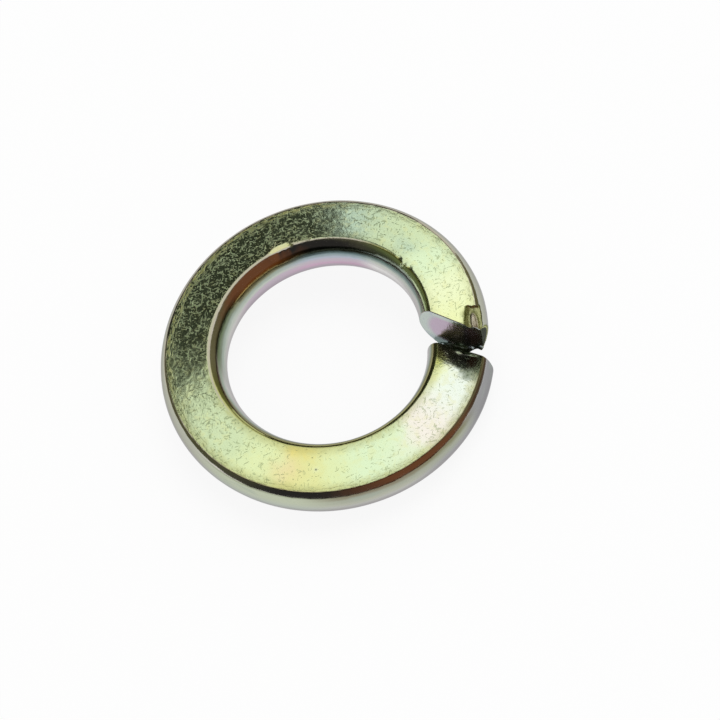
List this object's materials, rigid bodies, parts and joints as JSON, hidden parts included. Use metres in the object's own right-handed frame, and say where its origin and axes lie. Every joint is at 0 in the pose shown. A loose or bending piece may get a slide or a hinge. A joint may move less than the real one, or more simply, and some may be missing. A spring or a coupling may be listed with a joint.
{
  "type": "spring lock washer",
  "caption": "Split spring lock washer: one sprung turn of wedge-section steel wire with a slanted cut, plated in yellow zinc.",
  "frame": {"origin": "centre of the hole, at the height of the washer's lowest edge", "axes": "+Z along the hole's axis, +X through the cut halfway across the wire, with the high end on the +Y side of the cut"},
  "size_m": [0.0174, 0.0174, 0.0048],
  "materials": {
    "yellow_zinc": "yellow zinc plating on hardened spring steel, iridescent from yellow-green to pink"
  },
  "bodies": {
    "root": {"lock_washer": "yellow_zinc"}
  },
  "joints": []
}
